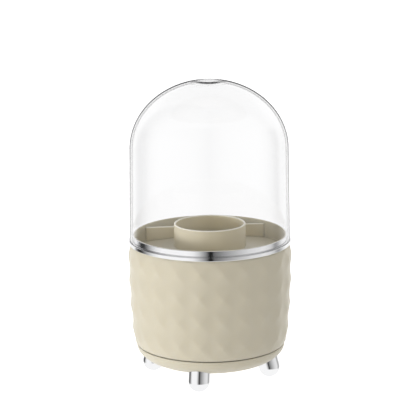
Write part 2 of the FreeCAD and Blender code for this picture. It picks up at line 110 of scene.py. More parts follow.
def add_node(tree, kind, **values):
    """Adds a shader node and sets its sockets by name."""
    node = tree.nodes.new(kind)
    for socket, value in values.items():
        node.inputs[socket.replace("_", " ")].default_value = value
    return node


def math_node(tree, operation, first, second=None):
    """Adds a Math node whose inputs are sockets or plain numbers, and returns its output."""
    node = tree.nodes.new("ShaderNodeMath")
    node.operation = operation
    for index, value in enumerate(item for item in (first, second) if item is not None):
        if isinstance(value, bpy.types.NodeSocket):
            tree.links.new(value, node.inputs[index])
        else:
            node.inputs[index].default_value = value
    return node.outputs[0]


def grey_ramp(tree, factor, stops):
    """Adds a colour ramp of greys at the given positions and returns its output."""
    ramp = tree.nodes.new("ShaderNodeValToRGB")
    elements = ramp.color_ramp.elements
    while len(elements) < len(stops):
        # A new stop starts in the middle and is moved to its place below.
        elements.new(0.5)
    for element, (position, grey) in zip(elements, stops):
        element.position = position
        element.color = (grey, grey, grey, 1.0)
    tree.links.new(factor, ramp.inputs["Fac"])
    return ramp.outputs["Color"]


def mixed_colour(tree, factor, first, second):
    """Mixes two fixed colours by a factor and returns the mix's output."""
    mix = tree.nodes.new("ShaderNodeMix")
    mix.data_type = "RGBA"
    mix.inputs["A"].default_value = first
    mix.inputs["B"].default_value = second
    tree.links.new(factor, mix.inputs["Factor"])
    return mix.outputs["Result"]


def mixed_shader(tree, factor, first, second):
    """Mixes two shaders by a factor and returns the mix's output."""
    mix = tree.nodes.new("ShaderNodeMixShader")
    tree.links.new(factor, mix.inputs["Fac"])
    tree.links.new(first, mix.inputs[1])
    tree.links.new(second, mix.inputs[2])
    return mix.outputs[0]


print("plain white:", white)

# %% [markdown]
# ## Studio walls
#
# Chrome looks like whatever surrounds it. The ring in the picture works as a mirror of the studio: white
# walls, a dark gap behind the lens and dark flags at both sides. Real cards round the object would shade
# it as well, so the walls are painted on the world by compass direction, white below and greyer overhead.

# %% Studio walls
wall_greys_by_degree = (
    (-180, 1.0), (-136, 1.0), (-127, 0.25), (-121, 0.03), (-113, 0.05), (-108, 0.16), (-102, 0.35),
    (-96, 0.57), (-88, 0.8), (-76, 1.0), (-34, 1.0), (-24, 0.9), (-18, 0.72), (-12, 0.48), (-6, 0.26),
    (-1, 0.02), (3, 0.02), (6, 0.15), (12, 0.22), (24, 0.36), (42, 0.55), (60, 0.73), (84, 0.83),
    (96, 0.74), (103, 0.62), (109, 0.38), (114, 0.31), (120, 0.5), (127, 0.75), (137, 1.0), (180, 1.0),
)
ceiling_greys_by_height = ((0.0, 1.0), (0.4, 1.0), (0.75, 0.6), (1.0, 0.5))
stripe_share_by_height = ((0.0, 0.0), (0.28, 0.0), (0.34, 1.0), (1.0, 1.0))

world = bpy.data.worlds.new("studio")
scene.world = world
world.use_nodes = True
sky = world.node_tree
sky.nodes.clear()
direction = sky.nodes.new("ShaderNodeTexCoord")
split = sky.nodes.new("ShaderNodeSeparateXYZ")
sky.links.new(direction.outputs["Generated"], split.inputs[0])
front = math_node(sky, "MULTIPLY", split.outputs["Y"], -1.0)
compass = math_node(sky, "ARCTAN2", split.outputs["X"], front)
turn_share = math_node(sky, "ADD", math_node(sky, "DIVIDE", compass, 2 * math.pi), 0.5)
wall_stops = [(degree / 360 + 0.5, grey) for degree, grey in wall_greys_by_degree]
stripe_depth = math_node(sky, "SUBTRACT", grey_ramp(sky, turn_share, wall_stops), 1.0)
height_share = math_node(sky, "ADD", math_node(sky, "MULTIPLY", split.outputs["Z"], 0.5), 0.5)
stripe_share = grey_ramp(sky, height_share, stripe_share_by_height)
walls = math_node(sky, "ADD", math_node(sky, "MULTIPLY", stripe_depth, stripe_share), 1.0)
ceiling = grey_ramp(sky, split.outputs["Z"], ceiling_greys_by_height)
wall_light = math_node(sky, "MULTIPLY", walls, ceiling)
print("wall stripes:", len(wall_stops), "stops")

# %% [markdown]
# ## Light tent
#
# Matt surfaces are lit from all sides, as in a white tent. It is brighter near the table, and its left side
# is the stronger one below and at the object's height. A tent could be built from lamps. A level and a swing
# from side to side, both by height, say the same with less noise in the picture.

# %% Light tent
tent_level_by_height = (
    (0.0, 1.15), (0.25, 1.0), (0.42, 0.68), (0.5, 0.6), (0.65, 0.64), (0.8, 0.5), (1.0, 0.4),
)
tent_swing_by_height = ((0.0, 0.3), (0.3, 0.42), (0.45, 0.6), (0.54, 0.6), (0.64, 0.06), (1.0, 0.06))
tent_swing_base = 0.2
tent_bright_side = math.radians(-90)

swing = math_node(sky, "COSINE", math_node(sky, "SUBTRACT", compass, tent_bright_side))
swing_ramp = grey_ramp(sky, height_share, tent_swing_by_height)
swing_size = math_node(sky, "SUBTRACT", swing_ramp, tent_swing_base)
tent_level = grey_ramp(sky, height_share, tent_level_by_height)
tent_light = math_node(sky, "ADD", math_node(sky, "MULTIPLY", swing, swing_size), tent_level)
print("tent level below and above:", tent_level_by_height[0][1], tent_level_by_height[-1][1])

# %% [markdown]
# ## World
#
# The kind of ray decides what it sees. Camera rays, and light that only passed through the dome, see plain
# white. Light that was mirrored at least once sees the painted walls, and matt surfaces see the tent.


# %% World
def white_light(strength):
    """Adds a white background whose strength comes from a socket, and returns its output."""
    light = add_node(sky, "ShaderNodeBackground", Color=white)
    sky.links.new(strength, light.inputs["Strength"])
    return light.outputs[0]


rays = sky.nodes.new("ShaderNodeLightPath")
straight = math_node(sky, "MAXIMUM", rays.outputs["Is Camera Ray"], rays.outputs["Is Transmission Ray"])
reflected = math_node(sky, "MINIMUM", rays.outputs["Glossy Depth"], 1.0)
mirrored = math_node(sky, "MULTIPLY", rays.outputs["Is Glossy Ray"], reflected)
plain = add_node(sky, "ShaderNodeBackground", Color=white, Strength=1.0)
seen = mixed_shader(sky, straight, white_light(tent_light), plain.outputs[0])
whole = mixed_shader(sky, mirrored, seen, white_light(wall_light))
sky_output = sky.nodes.new("ShaderNodeOutputWorld")
sky.links.new(whole, sky_output.inputs["Surface"])
print("world:", len(sky.nodes), "nodes")

# %% [markdown]
# ## Floor
#
# A pale table top that fades into the white background and takes the object's shadow. A curved paper sweep
# would do the same. A little light of its own, for camera rays only, lifts it to white. Matt surfaces,
# mirrors and the dome look past it, so all of them are lit by the studio alone.

# %% Floor
floor_half_width = 6.0
floor_dark = (0.93, 0.93, 0.93, 1.0)
floor_light = (0.95, 0.95, 0.95, 1.0)
floor_lift = 0.7


def floor_material():
    """Matt white table top with a faint cloudiness, lifted to white for the camera."""
    made = bpy.data.materials.new("floor_white")
    made.use_nodes = True
    tree = made.node_tree
    tree.nodes.clear()
    cloud = add_node(tree, "ShaderNodeTexNoise", Scale=3.0, Detail=2.0)
    tint = mixed_colour(tree, cloud.outputs["Fac"], floor_dark, floor_light)
    matt = add_node(tree, "ShaderNodeBsdfDiffuse", Roughness=0.4)
    tree.links.new(tint, matt.inputs["Color"])
    floor_rays = tree.nodes.new("ShaderNodeLightPath")
    own_light = add_node(tree, "ShaderNodeEmission", Color=white)
    lift = math_node(tree, "MULTIPLY", floor_rays.outputs["Is Camera Ray"], floor_lift)
    tree.links.new(lift, own_light.inputs["Strength"])
    both = tree.nodes.new("ShaderNodeAddShader")
    tree.links.new(matt.outputs[0], both.inputs[0])
    tree.links.new(own_light.outputs[0], both.inputs[1])
    output = tree.nodes.new("ShaderNodeOutputMaterial")
    tree.links.new(both.outputs[0], output.inputs["Surface"])
    return made


floor_mesh = bpy.data.meshes.new("floor")
floor_corners = [(-1, -1), (1, -1), (1, 1), (-1, 1)]
floor_points = [(x * floor_half_width, y * floor_half_width, cad_low.z) for x, y in floor_corners]
floor_mesh.from_pydata(floor_points, [], [(0, 1, 2, 3)])
floor_mesh.materials.append(floor_material())
floor = bpy.data.objects.new("floor", floor_mesh)
floor.visible_diffuse = False
floor.visible_glossy = False
floor.visible_transmission = False
scene.collection.objects.link(floor)
print("floor", 2 * floor_half_width, "m wide at height", round(cad_low.z, 4))

# %% [markdown]
# ## Lamps
#
# A large softbox on the left makes the shell bright there, a weaker one in front fills the middle, and
# a narrow strip behind on the right draws the pale line along the shell's right edge. Mirrors and the dome
# don't show the lamps, because the painted walls already stand for them there.


# %% Lamps
def softbox(name, place, width, height, power):
    """Adds an area lamp that faces the middle of the object."""
    data = bpy.data.lights.new(name, "AREA")
    data.shape = "RECTANGLE"
    data.size = width
    data.size_y = height
    data.energy = power
    lamp = bpy.data.objects.new(name, data)
    lamp.location = place
    aim = (cad_low + cad_high) / 2 - Vector(place)
    lamp.rotation_euler = aim.to_track_quat("-Z", "Y").to_euler()
    lamp.visible_glossy = False
    lamp.visible_transmission = False
    scene.collection.objects.link(lamp)
    return lamp


lamps = [
    softbox("left_softbox", place=(-1.5, -0.42, 0.15), width=1.2, height=0.28, power=10.5),
    softbox("front_softbox", place=(-0.35, -1.5, 0.36), width=1.2, height=0.6, power=3.5),
    softbox("right_strip", place=(0.9, 1.0, 0.2), width=0.2, height=0.38, power=7.0),
]
print("lamps:", ", ".join(lamp.name for lamp in lamps))

# %% [markdown]
# ## Finishes
#
# A flat colour looks like paint on a screen. On a real surface the colour and the gloss are never quite even,
# and a fine grain from the mould or the polishing breaks the highlights. Painted textures could show that.
# Noise in real metres needs no unwrapping, and its grain has the same size on every piece.


# %% Finish helpers
def noise_node(tree, scale, detail):
    """Noise in real metres, so that a grain keeps its size on every piece."""
    place = tree.nodes.new("ShaderNodeTexCoord")
    noise = add_node(tree, "ShaderNodeTexNoise", Scale=scale, Detail=detail)
    tree.links.new(place.outputs["Object"], noise.inputs["Vector"])
    return noise.outputs["Fac"]


def between(tree, factor, low, high):
    """Maps a noise factor to a range of values."""
    span = add_node(tree, "ShaderNodeMapRange", To_Min=low, To_Max=high)
    tree.links.new(factor, span.inputs["Value"])
    return span.outputs["Result"]


def grain(tree, shader, scale, depth):
    """Fine bump of a moulded or polished surface."""
    bump = add_node(tree, "ShaderNodeBump", Strength=1.0, Distance=depth)
    tree.links.new(noise_node(tree, scale, detail=2.0), bump.inputs["Height"])
    tree.links.new(bump.outputs["Normal"], shader.inputs["Normal"])


def finish(name, colours, drift_scale, gloss, grain_scale, grain_depth, **values):
    """A finish whose colour and roughness drift between two values, with a fine grain."""
    made = bpy.data.materials.new(name)
    made.use_nodes = True
    tree = made.node_tree
    shader = tree.nodes["Principled BSDF"]
    for socket, value in values.items():
        shader.inputs[socket.replace("_", " ")].default_value = value
    colour_drift = noise_node(tree, drift_scale, detail=3.0)
    tree.links.new(mixed_colour(tree, colour_drift, *colours), shader.inputs["Base Color"])
    gloss_drift = noise_node(tree, drift_scale * 2, detail=4.0)
    tree.links.new(between(tree, gloss_drift, *gloss), shader.inputs["Roughness"])
    grain(tree, shader, grain_scale, grain_depth)
    print("made", made.name, "with", len(tree.nodes), "nodes")
    return made


subparts = frame["record"]["subparts"]
print("slots to finish:", ", ".join(sorted({row["material_slot"] for row in subparts})))

# %% [markdown]
# ## Beige plastic
#
# The cup, the tray and the dish are one moulded plastic with a satin gloss. Light enters such plastic and
# comes out a few millimetres away, which softens the shade on the facets. Thin rims are paler, because light
# reaches them from both sides. A finer scatter could show that. A paler colour on the rims, a painted glow,
# is simpler and less noisy.

# %% Beige plastic
beige_colours = ((0.675, 0.622, 0.492, 1.0), (0.695, 0.642, 0.510, 1.0))
rim_painted_glow_colours = ((0.93, 0.88, 0.76, 1.0), (0.95, 0.90, 0.78, 1.0))


def beige_finish(name, colours):
    """Satin moulded plastic that scatters a little light below its surface."""
    return finish(
        name, colours, drift_scale=18.0, gloss=(0.34, 0.42), grain_scale=1500.0, grain_depth=0.000004,
        IOR=1.48, Subsurface_Weight=0.75, Subsurface_Radius=(0.0032, 0.0031, 0.0028), Subsurface_Scale=1.0,
    )


beige_plastic = beige_finish("beige_plastic", beige_colours)
beige_rim_painted_glow = beige_finish("beige_rim_painted_glow", rim_painted_glow_colours)

# %% [markdown]
# ## Chrome plate
#
# The ring and the feet are plated to a mirror. All their contrast comes from the studio walls. A trace of
# haze in the roughness keeps the dark stripes from looking cut out.

# %% Chrome plate
chrome_colours = ((0.90, 0.90, 0.91, 1.0), (0.93, 0.93, 0.935, 1.0))
chrome_plate = finish(
    "chrome_plate", chrome_colours,
    drift_scale=30.0, gloss=(0.02, 0.05), grain_scale=900.0, grain_depth=0.0000005, Metallic=1.0,
)

# %% [markdown]
# ## Clear plastic
#
# The dome is clear and polished. A glass shader on a wall with real thickness bends the light as the real one
# does. Its index is lower than that of real acrylic, because the dome in the picture hardly mirrors the room.
# Where the wall is seen edge-on, a dark matt colour is mixed in by the slant of the surface, most on the cap,
# as a painted shade that draws the thin outline. Glass would block the lamps, so shadow and diffuse rays pass
# freely.

# %% Clear plastic
clear_colour = (0.998, 0.998, 1.0, 1.0)
clear_index = 1.28
clear_gloss = (0.0, 0.01)
clear_drift_scale = 12.0
painted_outline_colour = (0.10, 0.10, 0.105, 1.0)
painted_outline_by_slant = ((0.0, 0.0), (0.80, 0.0), (0.87, 1.0), (1.0, 1.0))
painted_outline_by_height = ((0.0, 0.35), (0.5, 0.45), (0.75, 0.8), (1.0, 1.0))
dome_low, dome_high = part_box("dome_cover")


def painted_outline_share(tree):
    """How much of the painted dark outline shows: only where the wall is seen edge-on, and most on the cap.
    """
    slant = add_node(tree, "ShaderNodeLayerWeight", Blend=0.5)
    place = tree.nodes.new("ShaderNodeTexCoord")
    axes = tree.nodes.new("ShaderNodeSeparateXYZ")
    tree.links.new(place.outputs["Object"], axes.inputs[0])
    level = add_node(tree, "ShaderNodeMapRange", From_Min=dome_low.z, From_Max=dome_high.z)
    tree.links.new(axes.outputs["Z"], level.inputs["Value"])
    by_slant = grey_ramp(tree, slant.outputs["Facing"], painted_outline_by_slant)
    by_height = grey_ramp(tree, level.outputs["Result"], painted_outline_by_height)
    return math_node(tree, "MULTIPLY", by_slant, by_height)


def clear_finish(name):
    """Polished clear plastic that lets the lamps through, with a painted dark outline."""
    made = bpy.data.materials.new(name)
    made.use_nodes = True
    tree = made.node_tree
    shader = tree.nodes["Principled BSDF"]
    shader.inputs["Base Color"].default_value = clear_colour
    shader.inputs["Transmission Weight"].default_value = 1.0
    shader.inputs["IOR"].default_value = clear_index
    gloss_drift = noise_node(tree, clear_drift_scale, detail=2.0)
    tree.links.new(between(tree, gloss_drift, *clear_gloss), shader.inputs["Roughness"])
    # Painted shade: a dark matt colour, mixed in where the wall is seen edge-on, draws the outline.
    edge = add_node(tree, "ShaderNodeBsdfDiffuse", Color=painted_outline_colour)
    glass_and_painted_outline = mixed_shader(tree, painted_outline_share(tree), shader.outputs[0], edge.outputs[0])
    open_way = add_node(tree, "ShaderNodeBsdfTransparent", Color=white)
    dome_rays = tree.nodes.new("ShaderNodeLightPath")
    kinds = dome_rays.outputs
    lamp_rays = math_node(tree, "MAXIMUM", kinds["Is Shadow Ray"], kinds["Is Diffuse Ray"])
    either = mixed_shader(tree, lamp_rays, glass_and_painted_outline, open_way.outputs[0])
    tree.links.new(either, tree.nodes["Material Output"].inputs["Surface"])
    print("made", made.name, "with", len(tree.nodes), "nodes")
    return made


clear_plastic = clear_finish("clear_plastic")

# %% [markdown]
# ## Finishes of the hidden turntable
#
# The bearing sits between the dish and the cup and only shows when it is taken apart. Steel, white nylon
# and a duller beige are enough for it. The duller beige also goes on the faces in the seam of dish and cup,
# as painted shade where little light gets into the gap.

# %% Hidden finishes
steel_colours = ((0.55, 0.55, 0.56, 1.0), (0.62, 0.62, 0.63, 1.0))
nylon_colours = ((0.78, 0.78, 0.75, 1.0), (0.83, 0.83, 0.80, 1.0))
inner_and_painted_seam_shade_colours = ((0.47, 0.43, 0.34, 1.0), (0.50, 0.46, 0.36, 1.0))

bright_steel = finish(
    "bright_steel", steel_colours,
    drift_scale=60.0, gloss=(0.22, 0.34), grain_scale=3000.0, grain_depth=0.000004, Metallic=1.0,
)
white_nylon = finish(
    "white_nylon", nylon_colours,
    drift_scale=40.0, gloss=(0.42, 0.55), grain_scale=1800.0, grain_depth=0.00001,
)
inner_beige_and_painted_seam_shade = finish(
    "inner_beige_and_painted_seam_shade", inner_and_painted_seam_shade_colours,
    drift_scale=30.0, gloss=(0.45, 0.55), grain_scale=1600.0, grain_depth=0.00001,
)

# %% [markdown]
# ## Outlines
#
# Almost every piece is round, as a lathe or a round mould makes it, so one outline per piece is enough.
# A moulded part has no truly sharp corners, and a sharp one would catch no light, so a corner of an outline
# can have a rounding of its own.

# %% Outline helpers
corner_steps = 5


def arc(centre, radius, start, end, steps):
    """Points on a profile arc. Angles are in degrees from the outward direction."""
    points = []
    for step in range(steps + 1):
        angle = math.radians(start + (end - start) * step / steps)
        points.append((centre[0] + radius * math.cos(angle), centre[1] + radius * math.sin(angle)))
    return points


def rounded(corners, closed=True, steps=corner_steps):
    """Outline through (radius, height, rounding) corners, with each rounded corner turned into an arc."""
    points = []
    count = len(corners)
    for index, (radius, height, rounding) in enumerate(corners):
        corner = Vector((radius, height))
        is_end = not closed and index in (0, count - 1)
        if rounding == 0 or is_end:
            points.append(tuple(corner))
            continue
        before = (Vector(corners[index - 1][:2]) - corner).normalized()
        after = (Vector(corners[(index + 1) % count][:2]) - corner).normalized()
        half = before.angle(after) / 2
        centre = corner + (before + after).normalized() * (rounding / math.sin(half))
        first = corner + before * (rounding / math.tan(half)) - centre
        last = corner + after * (rounding / math.tan(half)) - centre
        for step in range(steps + 1):
            spoke = first.slerp(last, step / steps).normalized() * rounding
            points.append(tuple(centre + spoke))
    return points


print("points in a rounded corner:", corner_steps + 1)

# %% [markdown]
# ## Turned meshes
#
# An outline is spun about the axis, as the real moulds are turned. A Screw modifier would do it too, but it
# can leave doubled points on the axis. Here each ring is made in turn, and a point on the axis is a pole.

# %% Mesh helpers
round_segments = 192
fine_segments = 256
pole_radius = 1e-7


def mesh_from(shape, name):
    """Turns a finished bmesh into a smooth mesh with outward normals."""
    bmesh.ops.recalc_face_normals(shape, faces=shape.faces[:])
    mesh = bpy.data.meshes.new(name)
    shape.to_mesh(mesh)
    shape.free()
    mesh.shade_smooth()
    return mesh


def join_rings(shape, lower, upper):
    """Faces between two rings of vertices, either of which may be a pole."""
    count = max(len(lower), len(upper))
    if count == 1:
        return
    for index in range(count):
        following = (index + 1) % count
        corners = [lower[index % len(lower)], lower[following % len(lower)]]
        corners += [upper[following % len(upper)], upper[index % len(upper)]]
        unique = list(dict.fromkeys(corners))
        shape.faces.new(unique)


def spin(name, outline, segments=round_segments):
    """Closed mesh of revolution about Z. Outline points on the axis become poles."""
    shape = bmesh.new()
    rings = []
    for radius, height in outline:
        if radius < pole_radius:
            rings.append([shape.verts.new((0.0, 0.0, height))])
            continue
        ring = []
        for index in range(segments):
            angle = 2 * math.pi * index / segments
            ring.append(shape.verts.new((radius * math.cos(angle), radius * math.sin(angle), height)))
        rings.append(ring)
    for lower, upper in zip(rings, rings[1:] + rings[:1]):
        join_rings(shape, lower, upper)
    return mesh_from(shape, name)


print("segments in a turn:", round_segments, "or", fine_segments)

# %% [markdown]
# ## Dressing
#
# A finished mesh rides on the body of its solid, takes the finish of the same slot and stands in for the
# solid.
# A rim can get a paler finish as a painted glow, and a seam a duller one as painted shade. Such faces could
# be marked by hand, but here their height picks them.


# %% Dressing helpers
def dress(mesh, material, body, slot, *nodes):
    """Makes the piece, gives it its finish and lets it stand for its solids."""
    piece = bpy.data.objects.new(mesh.name, mesh)
    scene.collection.objects.link(piece)
    mesh.materials.append(material)
    even_normals = piece.modifiers.new("even normals", "WEIGHTED_NORMAL")
    even_normals.keep_sharp = True
    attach(piece, body)
    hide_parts(*nodes)
    print(piece.name, len(mesh.vertices), "points")
    return piece


def refinish(piece, material, low, high):
    """Gives the faces between two heights another finish."""
    materials = piece.data.materials
    materials.append(material)
    chosen = [face for face in piece.data.polygons if low < face.center.z < high]
    for face in chosen:
        face.material_index = len(materials) - 1
    print(piece.name, "faces in", material.name, len(chosen))


print("solids before dressing:", len(subparts))

# %% [markdown]
# ## Side of the dish
#
# The dish is a shallow bowl whose side runs in two arcs, a wide one under the floor and a tighter one up to
# the rim. A free curve could follow it as well, but two tangent arcs keep the wall even when it is offset.

# %% Side of the dish
dish_low, dish_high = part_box("base_dish")
dish_rim_radius = dish_high.x
dish_wall = 0.0024
dish_rim_arc = 0.01075
dish_floor_arc = 0.023
dish_blend_angle = 45.0
dish_edge_round = 0.0004
dish_arc_steps = 12


def dish_side(inset):
    """Two tangent arcs from the floor of the dish to its rim, moved inwards by a wall."""
    blend = math.radians(dish_blend_angle)
    floor_z = dish_low.z + dish_floor_arc
    step = dish_floor_arc - dish_rim_arc
    rim_z = floor_z - step * math.sin(blend)
    rim_rise = dish_high.z - rim_z
    rim_r = dish_rim_radius - math.sqrt(dish_rim_arc ** 2 - rim_rise ** 2)
    floor_r = rim_r - step * math.cos(blend)
    rim_end = math.degrees(math.asin((rim_rise - dish_edge_round) / (dish_rim_arc - inset)))
    wide = arc((floor_r, floor_z), dish_floor_arc - inset, -90, -dish_blend_angle, dish_arc_steps)
    tight = arc((rim_r, rim_z), dish_rim_arc - inset, -dish_blend_angle, rim_end, dish_arc_steps)
    return wide + tight[1:]


outer_side = dish_side(0.0)
inner_side = dish_side(dish_wall)
print("points in the dish's side:", len(outer_side), "outside,", len(inner_side), "inside")

# %% [markdown]
# ## Base dish
#
# A recess under the middle takes the head of the spindle screw, and a raised seat inside carries the bearing.
# Both are turned, so they join the two sides in one outline. The flat crest of the rim lies in the seam.

# %% Base dish
recess_radius = 0.003
recess_depth = 0.002
bearing_seat_radius = 0.030
bearing_seat_thickness = 0.0048
seat_height = dish_low.z + bearing_seat_thickness

recess = [
    (0.0, dish_low.z + recess_depth),
    (recess_radius, dish_low.z + recess_depth),
    (recess_radius, dish_low.z + dish_edge_round),
    (recess_radius + dish_edge_round, dish_low.z),
]
rim_crest = [
    (outer_side[-1][0] - dish_edge_round, dish_high.z),
    (inner_side[-1][0] + dish_edge_round, dish_high.z),
]
bearing_seat = [
    (bearing_seat_radius, inner_side[0][1]),
    (bearing_seat_radius, seat_height),
    (0.0, seat_height),
]
dish_outline = recess + outer_side + rim_crest + inner_side[::-1] + bearing_seat
dish = dress(spin("dish_shell", dish_outline), beige_plastic, "base", "beige_plastic", "base_dish")
# The crest of the rim lies in the seam and gets the duller beige: painted shade in the gap.
refinish(dish, inner_beige_and_painted_seam_shade, dish_high.z - dish_edge_round / 4, dish_high.z + dish_edge_round)

# %% [markdown]
# ## Feet
#
# Four plated feet, each a straight stub with a round end, splay outwards a little. One profile is spun and
# then tilted to each place. The tips are cut flat where they meet the table.

# %% Feet
foot_names = ("foot_right", "foot_back", "foot_left", "foot_front")
foot_radius = 0.0087
foot_inset = 0.0119
foot_circle = dish_rim_radius - foot_inset
foot_tip_cut = 0.0004
foot_length = 0.011
foot_top_round = 0.0005
foot_splay = math.radians(14.0)
foot_turn = math.radians(-11.4)
foot_tip_steps = 20
foot_segments = 96


def foot_mesh(name, turn):
    """One foot with its round end down, tilted and moved to its place on the circle."""
    tip = arc((0.0, 0.0), foot_radius, -90, 0, foot_tip_steps)
    top = rounded([
        (foot_radius, 0.0, 0),
        (foot_radius, foot_length, foot_top_round),
        (0.0, foot_length, 0),
    ], closed=False)
    mesh = spin(name, [(0.0, -foot_radius)] + tip[1:] + top[1:], foot_segments)
    tilt = Matrix.Rotation(-foot_splay, 4, "Y")
    place = Matrix.Translation((foot_circle, 0.0, foot_radius - foot_tip_cut))
    mesh.transform(Matrix.Rotation(turn, 4, "Z") @ place @ tilt)
    for vertex in mesh.vertices:
        vertex.co.z = max(vertex.co.z, cad_low.z)
    return mesh


for index, foot_name in enumerate(foot_names):
    turn = foot_turn + index * 2 * math.pi / len(foot_names)
    dress(foot_mesh("chrome_" + foot_name, turn), chrome_plate, "base", "chrome_plate", foot_name)

# %% [markdown]
# ## Diamond net
#
# The cup wall is covered with a net of diamonds. Corners on odd rows stand out and corners on even rows lie
# back. A bump map would leave the outline round, but the picture shows a scalloped edge, so the net is real
# geometry. All of it follows from the count of columns and rows and a gently barrelled side.

# %% Diamond net
shell_low, shell_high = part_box("outer_shell")
facet_columns = 22
facet_half_rows = 8
facet_band = 0.0012
facet_relief = 0.0014
facet_phase = math.radians(-97.3)
shell_widest_radius = 0.06575
shell_widest_drop = 0.010
shell_bulge_radius = 0.704
facet_top = shell_high.z - facet_band
facet_bottom = shell_low.z + facet_band
facet_pitch = 2 * math.pi / facet_columns


def bulge(height):
    """Radius of the relief's peaks at a height, on a gently barrelled side."""
    drop = shell_high.z - shell_widest_drop - height
    return shell_widest_radius - shell_bulge_radius + math.sqrt(shell_bulge_radius ** 2 - drop ** 2)


def net_corner(row, column):
    """Corner of the diamond net. Odd rows are peaks, even rows are valleys set half a column on."""
    height = facet_top + (facet_bottom - facet_top) * row / facet_half_rows
    is_peak = row % 2 == 1
    radius = bulge(height) - (0.0 if is_peak else facet_relief)
    angle = facet_phase + facet_pitch * (column + (0.0 if is_peak else 0.5))
    return Vector((radius * math.cos(angle), radius * math.sin(angle), height))


print("diamonds in the net:", facet_columns * (facet_half_rows - 1))

# %% [markdown]
# ## Diamonds
#
# Each diamond is a twisted, slightly hollow patch between four corners of the net. Flat triangles would break
# along a diagonal, so it is a small Bezier surface with straight edges. Its middle pole counts for a quarter
# in the middle of the patch, so it is drawn in by four times the hollow's depth.

# %% Diamonds
facet_scoop = 0.0002
middle_pole_share = 0.25
patch_steps = 10


def patch_point(poles, across, along):
    """Point on a Bezier patch of three by three poles."""
    across_weights = ((1 - across) ** 2, 2 * across * (1 - across), across ** 2)
    along_weights = ((1 - along) ** 2, 2 * along * (1 - along), along ** 2)
    point = Vector()
    for row_weight, row in zip(across_weights, poles):
        for weight, pole in zip(along_weights, row):
            point += pole * (row_weight * weight)
    return point


def diamond_poles(row, column):
    """Poles of one diamond. Its edges are straight and its middle is drawn inwards."""
    middle_column = column if row % 2 == 1 else column + 1
    left, right = net_corner(row, column), net_corner(row, column + 1)
    top, bottom = net_corner(row - 1, middle_column), net_corner(row + 1, middle_column)
    mean = (left + right + top + bottom) / 4
    inwards = -Vector((mean.x, mean.y, 0.0)).normalized()
    middle = mean + inwards * (facet_scoop / middle_pole_share)
    return (
        (bottom, (bottom + left) / 2, left),
        ((bottom + right) / 2, middle, (top + left) / 2),
        (right, (right + top) / 2, top),
    )


def add_patch(shape, poles):
    """Adds one diamond as a grid of small faces."""
    steps = [step / patch_steps for step in range(patch_steps + 1)]
    grid = [[shape.verts.new(patch_point(poles, across, along)) for along in steps] for across in steps]
    for row, following in zip(grid, grid[1:]):
        for index in range(patch_steps):
            shape.faces.new((row[index], row[index + 1], following[index + 1], following[index]))


print("faces in a diamond:", patch_steps ** 2)

# %% [markdown]
# ## Relief
#
# Half diamonds close the net above and below. A mould never has quite sharp creases, so the welded skin is
# smoothed a little. A bevel on each crease would be exact, but it would need many more faces.

# %% Relief
weld_distance = 1e-6
crease_passes = 3
crease_easing = 0.5


def add_half_diamond(shape, row, column):
    """Adds one flat triangle that closes the net at its top or bottom row."""
    apex = net_corner(1 if row == 0 else row - 1, column + 1)
    start, end = net_corner(row, column), net_corner(row, column + 1)
    rows = []
    for level in range(patch_steps + 1):
        rise = level / patch_steps
        left, right = start.lerp(apex, rise), end.lerp(apex, rise)
        count = patch_steps - level
        rows.append([shape.verts.new(left.lerp(right, index / max(count, 1))) for index in range(count + 1)])
    for lower, upper in zip(rows, rows[1:]):
        for index in range(len(upper)):
            shape.faces.new((lower[index], lower[index + 1], upper[index]))
        for index in range(len(upper) - 1):
            shape.faces.new((lower[index + 1], upper[index + 1], upper[index]))


def relief_net():
    """The whole net as one open skin, with its creases eased a little as a mould would."""
    shape = bmesh.new()
    for column in range(facet_columns):
        for row in range(1, facet_half_rows):
            add_patch(shape, diamond_poles(row, column))
        add_half_diamond(shape, 0, column)
        add_half_diamond(shape, facet_half_rows, column)
    bmesh.ops.remove_doubles(shape, verts=shape.verts[:], dist=weld_distance)
    inside = [vertex for vertex in shape.verts if not vertex.is_boundary]
    for _ in range(crease_passes):
        bmesh.ops.smooth_vert(
            shape, verts=inside, factor=crease_easing, use_axis_x=True, use_axis_y=True, use_axis_z=True,
        )
    return shape


shell_skin = relief_net()
print("faces in the relief:", len(shell_skin.faces))

# %% [markdown]
# ## Inside of the shell
#
# Below and above the net the wall ends in a plain lip. The inside is turned: a pocket for the turntable disc,
# a ledge over it and a rebate for the tray. It is drawn as one open outline from the lower lip to the upper.

# %% Inside of the shell
shell_lip_radius = 0.0600
shell_band_radius = 0.0635
lip_wall = 0.0026
lip_round = 0.0003
disc_thickness = 0.003
disc_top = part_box("turntable_disc")[0].z + disc_thickness
disc_pocket_radius = shell_lip_radius - lip_wall
ledge_width = 0.0064
ledge_height = 0.003
ledge_radius = disc_pocket_radius - ledge_width
ledge_top = disc_top + ledge_height
pocket_radius = 0.0612
pocket_bottom = 0.0965
rebate_radius = 0.06225
rebate_depth = 0.0015
rebate_bottom = shell_high.z - rebate_depth

shell_inside = rounded([
    (shell_lip_radius, facet_bottom, 0),
    (shell_lip_radius, shell_low.z, lip_round),
    (disc_pocket_radius, shell_low.z, lip_round),
    (disc_pocket_radius, disc_top, 0),
    (ledge_radius, disc_top, 0),
    (ledge_radius, ledge_top, 0),
    (disc_pocket_radius, ledge_top, 0),
    (pocket_radius, pocket_bottom, 0),
    (pocket_radius, rebate_bottom, 0),
    (rebate_radius, rebate_bottom, 0),
    (rebate_radius, shell_high.z, lip_round),
    (shell_band_radius, shell_high.z, lip_round),
    (shell_band_radius, facet_top, 0),
], closed=False)
print("points in the shell's inner outline:", len(shell_inside))

# %% [markdown]
# ## Outer shell
#
# The real shell is one moulding, so the mesh is one closed skin. A spun inside would not meet the relief
# point by point. Its rings therefore take the compass angles of the net's lower edge.

# %% Outer shell
edge_reach = facet_band / 10


